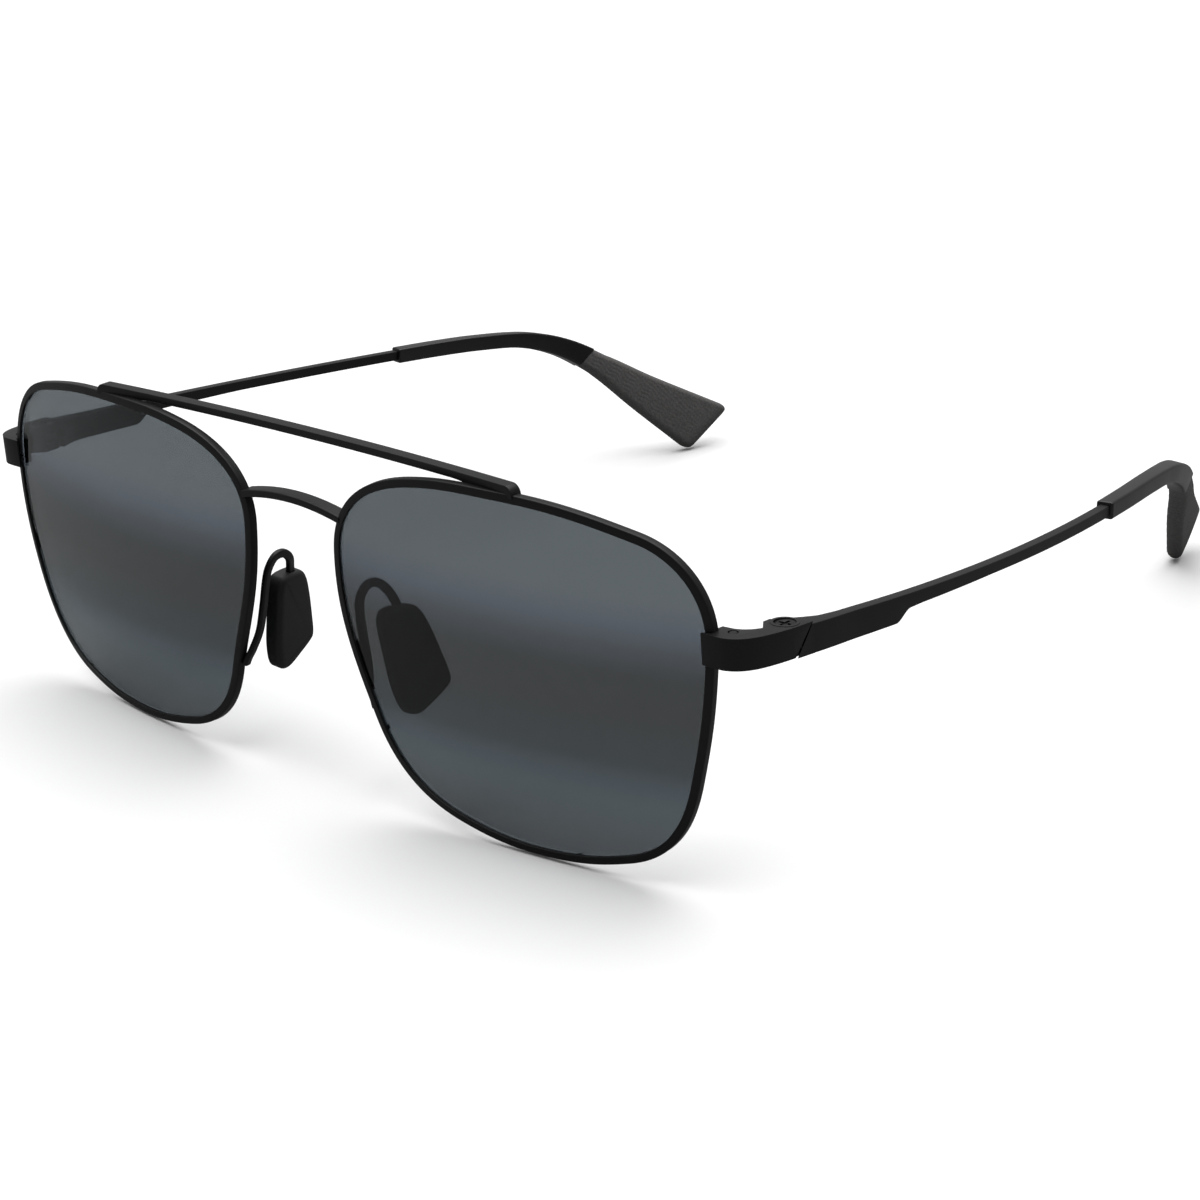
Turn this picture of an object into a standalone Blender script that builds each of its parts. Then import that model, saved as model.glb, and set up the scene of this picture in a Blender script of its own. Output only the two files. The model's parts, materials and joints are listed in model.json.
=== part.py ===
"""Aviator sunglasses: metal front with a double bridge, two tinted lenses, folding temples.

Front frame of reference, used by every function below, in millimetres:
  X across the face (+X is the wearer's left), Y from the front to the back, Z up,
  origin midway between the lens centres. Left pieces are modelled and mirrored to the right.
"""
import math

import bmesh
import bpy
from mathutils import Vector

MM = 0.001
SIDES = {"left": 1, "right": -1}

# Where the front frame of reference stands over the ground, under the whole object's middle
FRONT_Y = -67.54
FRONT_Z = 24.28

# Lenses
LENS_CENTRE_X = 36.5
WRAP = math.radians(6.16)
BASE_RADIUS = 132.0
LENS_THICKNESS = 1.2
LENS_RINGS = (0.3, 0.62, 0.86)
TONGUE_HEIGHT = 0.4
TONGUE_FRONT = 0.08
TONGUE_BACK = 0.42
FIT_GAP = 0.05

# Lens outline: (towards the temple, up, heading in degrees), from the temporal side over the top
OUTLINE = (
    (26.6, 7.4, 87),
    (17.7, 18.8, 167),
    (-2.3, 21.1, 180),
    (-15.1, 20.25, 190),
    (-27.6, 9.8, 269),
    (-22.45, -10.8, 290),
    (-10.7, -21.3, 346),
    (4.1, -22.75, 3),
    (14.0, -21.0, 16),
    (23.9, -9.4, 75),
)
OUTLINE_STEPS = 6
HANDLE = 0.39

# Rim: a drawn wire with a groove for the lens, cut open behind the endpiece
RIM_WIDTH = 1.05
RIM_FRONT = -0.35
RIM_BACK = 0.75
RIM_CHAMFER = 0.18
RIM_CUT = 0.05

# Brow bar and nose bridge
BAR_HALF_LENGTH = 37.3
BAR_TOP = 23.15
BAR_HEIGHT = 1.0
BAR_END_HEIGHT = 0.85
BAR_END_START = 0.7
BAR_STATIONS = 16
BAR_DEPTH = 1.6
BAR_FRONT_MIDDLE = 2.85
BAR_FRONT_END = 1.3
BRIDGE_HALF_LENGTH = 8.45
BRIDGE_TOP_MIDDLE = 15.25
BRIDGE_TOP_END = 14.3
BRIDGE_THICKNESS = 0.85
BRIDGE_FRONT = 0.2
BRIDGE_DEPTH = 2.1
BRIDGE_STATIONS = 12

# Endpiece, seen from above: outer face from the front plate round to the hinge, then the inner face
ENDPIECE_OUTER = (
    (62.45, 4.95), (64.6, 4.95), (66.1, 5.35), (67.3, 6.25), (68.1, 7.5),
    (68.65, 9.1), (69.1, 11.2), (69.4, 13.2), (69.6, 16.0),
)
ENDPIECE_INNER = (
    (67.3, 16.0), (67.3, 13.8), (65.3, 13.6), (65.3, 12.4), (66.65, 10.7),
    (66.1, 9.7), (65.3, 8.9), (64.4, 8.45), (62.9, 8.25), (62.9, 6.9), (63.75, 7.2),
    (63.85, 5.6), (62.5, 5.2),
)
ENDPIECE_BOTTOM = 5.85
ENDPIECE_TOP = 9.75
ENDPIECE_FALLS = (0.045, 0.07)
SLOPE_START = 5.0
LOCK_SPLIT = 7.4
LOCK_PLAN = (
    (63.85, 6.45), (65.95, 6.45), (65.95, 8.6), (65.2, 8.6), (64.4, 8.35),
    (62.95, 8.2), (62.95, 6.9), (63.8, 7.2),
)
LOCK_NOTCH = ((62.0, 6.38, 4.0), (66.0, 8.7, 7.42))
RIM_SCREW_XY = (65.05, 7.5)
RIM_SCREW_RADIUS = 0.42
RIM_SCREW_HEAD_RADIUS = 0.62
RIM_SCREW_HEAD = 0.4

# Hinge: two leaves on the endpiece, one knuckle on the temple, washers between them
HINGE_X = 67.3
HINGE_Y = 13.8
LEAF_RADIUS = 1.72
LEAF_PROUD = 0.06
SLOT_RADIUS = 1.8
KNUCKLE_RADIUS = 1.68
SLOT_BOTTOM = 6.5
SLOT_TOP = 8.0
SLOT_START = -1.25
SLOT_END = 3.4
WASHER = 0.22
WASHER_GAP = 0.04
WASHER_RADIUS = 1.4
PIVOT_RADIUS = 0.55
PIVOT_GAP = 0.03
HEAD_RADIUS = 1.3
HEAD_HEIGHT = 0.42
SEAM_Y = 14.7
SEAM_Z = 7.25
SEAM_LEAN = 0.7
SEAM_GAP = 0.06
SEAM_BLOCK = 6.0
SCREW_SLOT_LENGTH = 1.7
SCREW_SLOT_WIDTH = 0.4
SCREW_SLOT_DEPTH = 0.25
SCREW_TIP = 0.2
SUNK = 0.1
NECK_SIDE = 1.2
NECK_FRONT = 0.9
LAP = 0.4
NOSE_FALL = 0.1145
NOSE_INSET = 0.03
OVER = 1.0

# Temple outer face and top edge: second-degree curves over the run about the temple's middle
TEMPLE_MIDDLE_Y = 45.0
TEMPLE_HALF_RUN = 35.0
TEMPLE_OUTER = (70.15, -0.875, -2.5)
TEMPLE_TOP = (5.6, -3.46, 0.33)

# Temple: (along Y, thickness, height) of the metal arm from the hinge to the sleeve
TEMPLE_STATIONS = (
    (15.9, 3.4, 3.65), (17.2, 2.7, 3.62), (19.0, 1.9, 3.58), (22.0, 1.55, 3.52), (26.5, 1.5, 3.43),
    (31.0, 1.45, 3.33), (33.2, 1.45, 1.9), (35.5, 1.45, 1.75), (42.0, 1.45, 1.6),
    (50.0, 1.45, 1.45), (58.0, 1.45, 1.45), (66.0, 1.45, 1.45), (73.0, 1.45, 1.45), (80.2, 1.45, 1.45),
)

# Tip centreline after the metal arm, and the sizes of the sleeve and the grip along it
TIP_PATH = (
    (65.95, 80.2, 1.7), (64.6, 87.5, 1.1), (62.8, 95.5, 0.3), (60.7, 103.5, -1.0),
    (58.3, 110.2, -3.7), (55.2, 116.2, -8.1), (51.4, 122.4, -13.8), (46.3, 131.6, -21.6),
)
PADDLE_NORMAL = (0.917, 0.331, -0.224)
TIP_SIZES = ((0.0, 2.3, 2.3), (0.35, 2.4, 2.4), (0.5, 3.1, 2.6), (0.62, 3.9, 2.8), (1.0, 10.0, 2.5))
CORE_END = 0.86
CORE_RADIUS = 0.5
CORE_GAP = 0.06
CORE_POCKET_END = 0.87
SLEEVE_START = 0.0025
SLEEVE_END = 0.62
GRIP_START = 0.621
GRIP_ROUND_START = 0.985
END_SLANT = 0.36
END_SLANT_START = 0.75
END_ROUND = 0.6

# Nose pads and their arms
PAD_CENTRE = (11.7, 8.0, -5.5)
PAD_UP = (-0.165, 0.115, 0.98)
PAD_REAR = (0.22, 0.95, -0.2)
PAD_OUTLINE = (
    (-3.7, 5.6), (-2.9, 6.3), (0.6, 6.3), (1.9, 5.1), (3.2, 1.9), (5.0, -3.8),
    (4.7, -4.9), (0.4, -7.6), (-1.0, -7.7), (-2.0, -7.0), (-3.0, -4.0), (-4.0, 4.3),
)
PAD_LAYERS = ((-1.3, 0.84), (-0.8, 1.0), (0.7, 1.0), (1.3, 0.8))
ARM_PATH = (
    (11.75, 0.75, -9.8), (11.2, 1.3, -8.2), (10.5, 2.0, -5.7), (9.7, 2.4, -2.2), (9.1, 2.7, 1.0),
    (8.85, 3.2, 2.8), (8.8, 4.4, 4.0), (8.9, 5.9, 4.0), (9.25, 7.1, 2.9), (10.0, 7.7, 1.2),
    (10.6, 8.0, -1.0), (10.85, 8.1, -2.6),
)
ARM_WIDTH = 1.15
ARM_THICKNESS = 0.75
ARM_STEPS = 3
ARM_INTO_PAD = 8
PAD_SLOT_GAP = 0.06
PAD_SLOT_END = 0.12

ROUND = 20


def clear_scene():
    for item in list(bpy.data.objects):
        bpy.data.objects.remove(item, do_unlink=True)


def make_material(name, colour, roughness, metallic):
    material = bpy.data.materials.new(name)
    material.use_nodes = True
    shader = material.node_tree.nodes["Principled BSDF"]
    shader.inputs["Base Color"].default_value = (*colour, 1.0)
    shader.inputs["Roughness"].default_value = roughness
    shader.inputs["Metallic"].default_value = metallic
    return material


# ---------------------------------------------------------------- shapes

def loft(rings, closed=False, tips=None):
    """Skin between rings of equal length. The ends are filled, fanned to tips, or joined up."""
    count = len(rings[0])
    points = [Vector(point) for ring in rings for point in ring]
    faces = []
    spans = len(rings) if closed else len(rings) - 1
    for ring in range(spans):
        start = ring * count
        after = ((ring + 1) % len(rings)) * count
        for i in range(count):
            j = (i + 1) % count
            faces.append((start + i, start + j, after + j, after + i))
    last = (len(rings) - 1) * count
    if tips:
        points += [Vector(tip) for tip in tips]
        first_tip = len(points) - 2
        for i in range(count):
            j = (i + 1) % count
            faces.append((first_tip, j, i))
            faces.append((first_tip + 1, last + i, last + j))
    elif not closed:
        faces.append(tuple(reversed(range(count))))
        faces.append(tuple(range(last, last + count)))
    return points, faces


def prism(plan, bottom, top, falls=(0.0, 0.0)):
    """A plan outline pulled up in Z. The bottom and the top fall towards the back by their slopes."""
    low = [(x, y, bottom - falls[0] * (y - SLOPE_START)) for x, y in plan]
    high = [(x, y, top - falls[1] * (y - SLOPE_START)) for x, y in plan]
    return loft([low, high])


def circle(radius, centre=(HINGE_X, HINGE_Y), count=ROUND, start=0.0, end=math.tau):
    whole = abs(end - start - math.tau) < 1e-9
    steps = count if whole else count - 1
    angles = [start + (end - start) * i / steps for i in range(count)]
    return [(centre[0] + radius * math.cos(a), centre[1] + radius * math.sin(a)) for a in angles]


def disc(radius, bottom, top, centre=(HINGE_X, HINGE_Y)):
    return prism(circle(radius, centre), bottom, top)


def turned(profile, centre):
    """A solid of revolution about a vertical line, from a closed (radius, height) profile."""
    rings = []
    for x, y in circle(1.0, (0.0, 0.0)):
        rings.append([(centre[0] + r * x, centre[1] + r * y, z) for r, z in profile])
    return loft(rings, closed=True)


def box(low, high):
    plan = [(low[0], low[1]), (high[0], low[1]), (high[0], high[1]), (low[0], high[1])]
    return prism(plan, low[2], high[2])


def smooth_path(points, steps):
    """Catmull-Rom curve through the points."""
    knots = [Vector(p) for p in points]
    knots = [2 * knots[0] - knots[1]] + knots + [2 * knots[-1] - knots[-2]]
    path = []
    for i in range(1, len(knots) - 2):
        a, b, c, d = knots[i - 1:i + 3]
        for step in range(steps):
            t = step / steps
            path.append(0.5 * (2 * b + (c - a) * t + (2 * a - 5 * b + 4 * c - d) * t ** 2
                               + (3 * b - a - 3 * c + d) * t ** 3))
    return path + [knots[-2]]


def oblong(width, thickness, corner):
    """Section with chamfered corners: width along the first axis, thickness along the second."""
    w, t = width / 2, thickness / 2
    return [(w - corner, -t), (w, corner - t), (w, t - corner), (w - corner, t),
            (corner - w, t), (-w, t - corner), (-w, corner - t), (corner - w, -t)]


def section_ring(centre, across, over, section):
    return [centre + across * a + over * b for a, b in section]


# ---------------------------------------------------------------- objects

class Builder:
    """Places left-side shapes, mirrored for the right, under an empty on a joint or on the front."""

    def __init__(self, side, front):
        self.label = side
        self.sign = SIDES[side]
        self.front = front
        self.pivots = {"front": front}
        self.origins = {"front": Vector((0.0, 0.0, 0.0))}

    def add_pivot(self, name, point):
        empty = bpy.data.objects.new(f"{name}_{self.label}", None)
        bpy.context.scene.collection.objects.link(empty)
        origin = Vector((self.sign * point[0], point[1], point[2]))
        empty.parent = self.front
        empty.location = origin * MM
        self.pivots[name] = empty
        self.origins[name] = origin

    def solid(self, name, shape, material=None, pivot="front"):
        points, faces = shape
        mesh = bpy.data.meshes.new(name)
        origin = self.origins[pivot]
        placed = [(Vector((self.sign * p[0], p[1], p[2])) - origin) * MM for p in points]
        mesh.from_pydata(placed, [], faces)
        form = bmesh.new()
        form.from_mesh(mesh)
        bmesh.ops.recalc_face_normals(form, faces=form.faces)
        form.to_mesh(mesh)
        form.free()
        mesh.shade_smooth()
        mesh.set_sharp_from_angle(angle=math.radians(32))
        item = bpy.data.objects.new(name, mesh)
        bpy.context.scene.collection.objects.link(item)
        item.parent = self.pivots[pivot]
        if material:
            mesh.materials.append(material)
        return item

    def tool(self, owner, shape, operation, pivot="front"):
        """Joins a shape to an object, or cuts it away."""
        cutter = self.solid(f"{operation.lower()}_{owner.name}", shape, None, pivot)
        cutter.hide_render = True
        cutter.display_type = "WIRE"
        change = owner.modifiers.new(cutter.name, "BOOLEAN")
        change.operation = operation
        change.solver = "EXACT"
        change.object = cutter


# ---------------------------------------------------------------- lens and rim

def outline_points():
    """Points and outward normals round the lens, in the lens's own plane."""
    points = []
    for i, (u0, v0, h0) in enumerate(OUTLINE):
        u1, v1, h1 = OUTLINE[(i + 1) % len(OUTLINE)]
        a, d = Vector((u0, v0)), Vector((u1, v1))
        reach = (d - a).length * HANDLE
        b = a + reach * Vector((math.cos(math.radians(h0)), math.sin(math.radians(h0))))
        c = d - reach * Vector((math.cos(math.radians(h1)), math.sin(math.radians(h1))))
        for step in range(OUTLINE_STEPS):
            t = step / OUTLINE_STEPS
            point = (1 - t) ** 3 * a + 3 * (1 - t) ** 2 * t * b + 3 * (1 - t) * t ** 2 * c + t ** 3 * d
            slope = (1 - t) ** 2 * (b - a) + 2 * (1 - t) * t * (c - b) + t ** 2 * (d - c)
            points.append((point, Vector((slope.y, -slope.x)).normalized()))
    return points


def on_lens(flat, depth):
    """Lens plane to the front frame: bent onto the base curve, then wrapped round the face."""
    u, v = flat
    w = BASE_RADIUS - math.sqrt(BASE_RADIUS ** 2 - u * u - v * v) + depth
    return Vector((LENS_CENTRE_X + u * math.cos(WRAP) - w * math.sin(WRAP),
                   u * math.sin(WRAP) + w * math.cos(WRAP), v))


def lens_shape():
    outline = outline_points()
    edge = ((-FIT_GAP, 0.0), (-FIT_GAP, TONGUE_FRONT), (TONGUE_HEIGHT, TONGUE_FRONT),
            (TONGUE_HEIGHT, TONGUE_BACK), (-FIT_GAP, TONGUE_BACK), (-FIT_GAP, LENS_THICKNESS))
    rings = [[on_lens(p * size, 0.0) for p, n in outline] for size in LENS_RINGS]
    rings += [[on_lens(p + n * out, depth) for p, n in outline] for out, depth in edge]
    rings += [[on_lens(p * size, LENS_THICKNESS) for p, n in outline] for size in reversed(LENS_RINGS)]
    return loft(rings, tips=(on_lens((0, 0), 0.0), on_lens((0, 0), LENS_THICKNESS)))


def rim_shape():
    groove = TONGUE_HEIGHT + FIT_GAP
    section = (
        (0.0, RIM_FRONT + RIM_CHAMFER), (RIM_CHAMFER, RIM_FRONT), (RIM_WIDTH - RIM_CHAMFER, RIM_FRONT),
        (RIM_WIDTH, RIM_FRONT + RIM_CHAMFER), (RIM_WIDTH, RIM_BACK - RIM_CHAMFER),
        (RIM_WIDTH - RIM_CHAMFER, RIM_BACK), (0.0, RIM_BACK), (0.0, TONGUE_BACK + FIT_GAP),
        (groove, TONGUE_BACK + FIT_GAP), (groove, TONGUE_FRONT - FIT_GAP), (0.0, TONGUE_FRONT - FIT_GAP),
    )
    outline = outline_points()
    outline.append(outline[0])
    for end, beside in ((0, 1), (-1, -2)):
        point, normal = outline[end]
        outline[end] = (point.lerp(outline[beside][0], RIM_CUT), normal)
    return loft([[on_lens(p + n * out, depth) for out, depth in section] for p, n in outline])


# ---------------------------------------------------------------- bars

def brow_bar_shape():
    rings = []
    for i in range(BAR_STATIONS + 1):
        across = i / BAR_STATIONS * 2 - 1
        x = BAR_HALF_LENGTH * across
        y = BAR_FRONT_MIDDLE + (BAR_FRONT_END - BAR_FRONT_MIDDLE) * across ** 2 + BAR_DEPTH / 2
        height = BAR_END_HEIGHT if abs(across) > BAR_END_START else BAR_HEIGHT
        centre = Vector((x, y, BAR_TOP - height / 2))
        rings.append(section_ring(centre, Vector((0, 1, 0)), Vector((0, 0, 1)),
                                  oblong(BAR_DEPTH, height, 0.15)))
    return loft(rings)


def bridge_shape():
    rings = []
    for i in range(BRIDGE_STATIONS + 1):
        across = i / BRIDGE_STATIONS * 2 - 1
        top = BRIDGE_TOP_MIDDLE + (BRIDGE_TOP_END - BRIDGE_TOP_MIDDLE) * across ** 2
        centre = Vector((BRIDGE_HALF_LENGTH * across, BRIDGE_FRONT + BRIDGE_DEPTH / 2,
                         top - BRIDGE_THICKNESS / 2))
        rings.append(section_ring(centre, Vector((0, 1, 0)), Vector((0, 0, 1)),
                                  oblong(BRIDGE_DEPTH, BRIDGE_THICKNESS, 0.2)))
    return loft(rings)


# ---------------------------------------------------------------- temple and tip

def bow(terms, y):
    """A long shallow curve along the temple."""
    s = (y - TEMPLE_MIDDLE_Y) / TEMPLE_HALF_RUN
    return terms[0] + terms[1] * s + terms[2] * s * s


def tip_frame(share):
    """Centre, then the directions across the paddle, through it and along it, at a share of the length."""
    path = smooth_path(TIP_PATH, 8)
    lengths = [0.0]
    for a, b in zip(path, path[1:]):
        lengths.append(lengths[-1] + (b - a).length)
    goal = share * lengths[-1]
    i = max(k for k in range(len(path) - 1) if lengths[k] <= goal + 1e-9)
    t = (goal - lengths[i]) / (lengths[i + 1] - lengths[i])
    point = path[i].lerp(path[i + 1], t)
    along = (path[min(i + 2, len(path) - 1)] - path[max(i - 1, 0)]).normalized()
    normal = Vector((1, 0, 0)).lerp(Vector(PADDLE_NORMAL), share)
    normal = (normal - along * normal.dot(along)).normalized()
    return point, normal.cross(along), normal, along


def tip_size(share):
    for (s0, w0, t0), (s1, w1, t1) in zip(TIP_SIZES, TIP_SIZES[1:]):
        if share <= s1:
            t = (share - s0) / (s1 - s0)
            return w0 + (w1 - w0) * t, t0 + (t1 - t0) * t
    return TIP_SIZES[-1][1:]


def core_ring(share, radius):
    """Round section of the wire core, started so that it matches the chamfered sections."""
    point, across, normal, along = tip_frame(share)
    section = []
    for i in range(8):
        angle = math.tau * (i + 0.5) / 8
        section.append((radius * math.sin(angle), -radius * math.cos(angle)))
    return section_ring(point, across, normal, section)


def cover_ring(share, shrink=0.0):
    """Outer section of the sleeve or the grip, leaning over to the slanted end of the paddle."""
    point, across, normal, along = tip_frame(share)
    width, thickness = tip_size(share)
    corner = thickness * 0.3
    lean = END_SLANT * max(0.0, (share - END_SLANT_START) / (1 - END_SLANT_START))
    ring = []
    for a, b in oblong(width - shrink, thickness - shrink, corner):
        ring.append(point + across * a + normal * b + along * lean * a)
    return ring


def shares(begin, end, steps):
    return [begin + (end - begin) * i / steps for i in range(steps + 1)]


def temple_shape():
    rings = []
    for y, thickness, height in TEMPLE_STATIONS:
        centre = Vector((bow(TEMPLE_OUTER, y) - thickness / 2, y, bow(TEMPLE_TOP, y) - height / 2))
        rings.append(section_ring(centre, Vector((0, 0, 1)), Vector((1, 0, 0)),
                                  oblong(height, thickness, 0.18)))
    rings += [core_ring(share, CORE_RADIUS) for share in shares(0.0, CORE_END, 14)]
    return loft(rings)


def sleeve_shape():
    outer = [cover_ring(share) for share in shares(SLEEVE_START, SLEEVE_END, 10)]
    inner = [core_ring(share, CORE_RADIUS + CORE_GAP) for share in shares(SLEEVE_START, SLEEVE_END, 10)]
    return loft(outer + inner[::-1], closed=True)


def grip_shape():
    outer = [cover_ring(share) for share in shares(GRIP_START, GRIP_ROUND_START, 8)]
    outer.append(cover_ring(1.0, END_ROUND))
    inner = [core_ring(share, CORE_RADIUS + CORE_GAP) for share in shares(CORE_POCKET_END, GRIP_START, 4)]
    return loft(inner + outer)


# ---------------------------------------------------------------- hinge and endpiece

def leaf_top():
    return ENDPIECE_TOP - ENDPIECE_FALLS[1] * (HINGE_Y - SLOPE_START)


def stepped(profile, centre):
    """A solid pin turned from (radius, height) steps, bottom to top."""
    rings = []
    for radius, height in profile:
        rings.append([(x, y, height) for x, y in circle(radius, centre)])
    return loft(rings)


def seam_block(gap, behind):
    """A block with one face on the slanted seam moved back by gap, behind the seam or before it."""
    far_y = SEAM_Y + (SEAM_BLOCK if behind else -SEAM_BLOCK)
    rings = []
    for z in (ENDPIECE_BOTTOM - OVER, ENDPIECE_TOP + OVER):
        near_y = SEAM_Y + SEAM_LEAN * (z - SEAM_Z) + gap
        rings.append([(HINGE_X - SEAM_BLOCK, near_y, z), (HINGE_X + SEAM_BLOCK, near_y, z),
                      (HINGE_X + SEAM_BLOCK, far_y, z), (HINGE_X - SEAM_BLOCK, far_y, z)])
    return loft(rings)


def slot_plan():
    """Room for the knuckle: round at the front and on the outer side, open at the back and inwards."""
    front = math.pi - math.asin(SLOT_START / SLOT_RADIUS)
    plan = circle(SLOT_RADIUS, start=front, end=math.tau)
    plan += [(HINGE_X + SLOT_RADIUS, HINGE_Y + SLOT_END), (HINGE_X - SLOT_END, HINGE_Y + SLOT_END),
             (HINGE_X - SLOT_END, HINGE_Y + SLOT_START)]
    return plan


def make_endpiece(maker, metal):
    plan = ENDPIECE_OUTER + ENDPIECE_INNER
    body = prism(plan, ENDPIECE_BOTTOM, ENDPIECE_TOP, ENDPIECE_FALLS)
    leaves = prism(circle(LEAF_RADIUS), ENDPIECE_BOTTOM - LEAF_PROUD, ENDPIECE_TOP + LEAF_PROUD, ENDPIECE_FALLS)
    piece = maker.solid(f"endpiece_{maker.label}", body, metal)
    pivot = PIVOT_RADIUS + PIVOT_GAP
    seat = leaf_top() - HEAD_HEIGHT
    maker.tool(piece, seam_block(0.0, behind=True), "DIFFERENCE")
    maker.tool(piece, leaves, "UNION")
    maker.tool(piece, prism(slot_plan(), SLOT_BOTTOM, SLOT_TOP), "DIFFERENCE")
    bore = ((pivot, ENDPIECE_BOTTOM - OVER), (pivot, seat), (HEAD_RADIUS + PIVOT_GAP, seat),
            (HEAD_RADIUS + PIVOT_GAP, leaf_top() + OVER))
    maker.tool(piece, stepped(bore, (HINGE_X, HINGE_Y)), "DIFFERENCE")
    maker.tool(piece, box(*LOCK_NOTCH), "DIFFERENCE")
    thread = disc(RIM_SCREW_RADIUS + PIVOT_GAP, LOCK_SPLIT - OVER, ENDPIECE_TOP + OVER, RIM_SCREW_XY)
    maker.tool(piece, thread, "DIFFERENCE")


def make_rim_lock(maker, metal, steel):
    lock = maker.solid(f"rim_lock_{maker.label}", prism(LOCK_PLAN, ENDPIECE_BOTTOM, LOCK_SPLIT - FIT_GAP), metal)
    head_top = ENDPIECE_BOTTOM + RIM_SCREW_HEAD
    head, shank = RIM_SCREW_HEAD_RADIUS + PIVOT_GAP, RIM_SCREW_RADIUS + PIVOT_GAP
    bore = ((head, ENDPIECE_BOTTOM - OVER), (head, head_top), (shank, head_top), (shank, LOCK_SPLIT + OVER))
    maker.tool(lock, stepped(bore, RIM_SCREW_XY), "DIFFERENCE")
    tip = ENDPIECE_TOP - ENDPIECE_FALLS[1] * (RIM_SCREW_XY[1] - SLOPE_START) - SUNK
    screw = ((RIM_SCREW_HEAD_RADIUS, ENDPIECE_BOTTOM + FIT_GAP),
             (RIM_SCREW_HEAD_RADIUS, head_top - PIVOT_GAP), (RIM_SCREW_RADIUS, head_top - PIVOT_GAP),
             (RIM_SCREW_RADIUS, tip))
    maker.solid(f"rim_screw_{maker.label}", stepped(screw, RIM_SCREW_XY), steel)


def make_hinge_hardware(maker, steel):
    seat = leaf_top() - HEAD_HEIGHT + PIVOT_GAP
    head_top = leaf_top() - SUNK
    profile = ((PIVOT_RADIUS, ENDPIECE_BOTTOM - SCREW_TIP), (PIVOT_RADIUS, seat), (HEAD_RADIUS, seat),
               (HEAD_RADIUS, head_top))
    screw = maker.solid(f"hinge_screw_{maker.label}", stepped(profile, (HINGE_X, HINGE_Y)), steel)
    long, short = SCREW_SLOT_LENGTH / 2, SCREW_SLOT_WIDTH / 2
    for dx, dy in ((long, short), (short, long)):
        maker.tool(screw, box((HINGE_X - dx, HINGE_Y - dy, head_top - SCREW_SLOT_DEPTH),
                              (HINGE_X + dx, HINGE_Y + dy, head_top + OVER)), "DIFFERENCE")
    inside = PIVOT_RADIUS + PIVOT_GAP
    for label, bottom in (("lower", SLOT_BOTTOM + WASHER_GAP), ("upper", SLOT_TOP - WASHER_GAP - WASHER)):
        top = bottom + WASHER
        ring = ((inside, bottom), (WASHER_RADIUS, bottom), (WASHER_RADIUS, top), (inside, top))
        maker.solid(f"hinge_washer_{label}_{maker.label}", turned(ring, (HINGE_X, HINGE_Y)), steel)


def make_temple(maker, metal):
    temple = maker.solid(f"temple_{maker.label}", temple_shape(), metal, "hinge")
    start, _, height = TEMPLE_STATIONS[0]
    outer, top = bow(TEMPLE_OUTER, start), bow(TEMPLE_TOP, start)
    front, back = HINGE_Y - LEAF_RADIUS, start + LAP
    plan = [(HINGE_X + LAP, front), (outer, front), (outer, back), (HINGE_X + LAP, back)]
    lift = NOSE_FALL * (start - SLOPE_START) - NOSE_INSET
    low = top - height + NOSE_FALL * (start - SLOPE_START) + NOSE_INSET
    nose = prism(plan, low, top + lift, (NOSE_FALL, NOSE_FALL))
    maker.tool(temple, nose, "UNION", "hinge")
    maker.tool(temple, seam_block(SEAM_GAP, behind=False), "DIFFERENCE", "hinge")
    clear = disc(LEAF_RADIUS + 2 * SEAM_GAP, ENDPIECE_BOTTOM - OVER, ENDPIECE_TOP + OVER)
    maker.tool(temple, clear, "DIFFERENCE", "hinge")
    neck = circle(KNUCKLE_RADIUS, start=math.pi, end=math.tau)
    neck += [(HINGE_X + KNUCKLE_RADIUS, start + LAP), (HINGE_X - NECK_SIDE, start + LAP),
             (HINGE_X - NECK_SIDE, HINGE_Y + NECK_FRONT)]
    gap = WASHER + 2 * WASHER_GAP
    maker.tool(temple, prism(neck, SLOT_BOTTOM + gap, SLOT_TOP - gap), "UNION", "hinge")
    maker.tool(temple, disc(PIVOT_RADIUS + PIVOT_GAP, SLOT_BOTTOM, SLOT_TOP), "DIFFERENCE", "hinge")


# ---------------------------------------------------------------- pads and their arms

def arm_rings(width, thickness, begin=0):
    path = smooth_path(ARM_PATH, ARM_STEPS)
    rear = Vector(PAD_REAR).normalized()
    rings = []
    for i in range(begin, len(path)):
        along = (path[min(i + 1, len(path) - 1)] - path[max(i - 1, 0)]).normalized()
        inward = rear.cross(Vector(PAD_UP)).normalized()
        through = (inward - along * inward.dot(along)).normalized()
        rings.append(section_ring(path[i], through.cross(along), through, oblong(width, thickness, 0.2)))
    return rings


def pad_shape():
    up = Vector(PAD_UP).normalized()
    rear = Vector(PAD_REAR)
    rear = (rear - up * rear.dot(up)).normalized()
    outward = rear.cross(up)
    rings = []
    for depth, size in PAD_LAYERS:
        rings.append([Vector(PAD_CENTRE) + rear * a * size + up * b * size - outward * depth
                      for a, b in PAD_OUTLINE])
    return loft(rings)


def make_pad(maker, metal, rubber):
    maker.solid(f"pad_arm_{maker.label}", loft(arm_rings(ARM_WIDTH, ARM_THICKNESS)), metal)
    pad = maker.solid(f"nose_pad_{maker.label}", pad_shape(), rubber)
    slot = arm_rings(ARM_WIDTH + 2 * PAD_SLOT_GAP, ARM_THICKNESS + 2 * PAD_SLOT_GAP,
                     begin=ARM_INTO_PAD * ARM_STEPS)
    slot.append([b + (b - a).normalized() * PAD_SLOT_END for a, b in zip(slot[-2], slot[-1])])
    maker.tool(pad, loft(slot), "DIFFERENCE")


# ---------------------------------------------------------------- build

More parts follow.
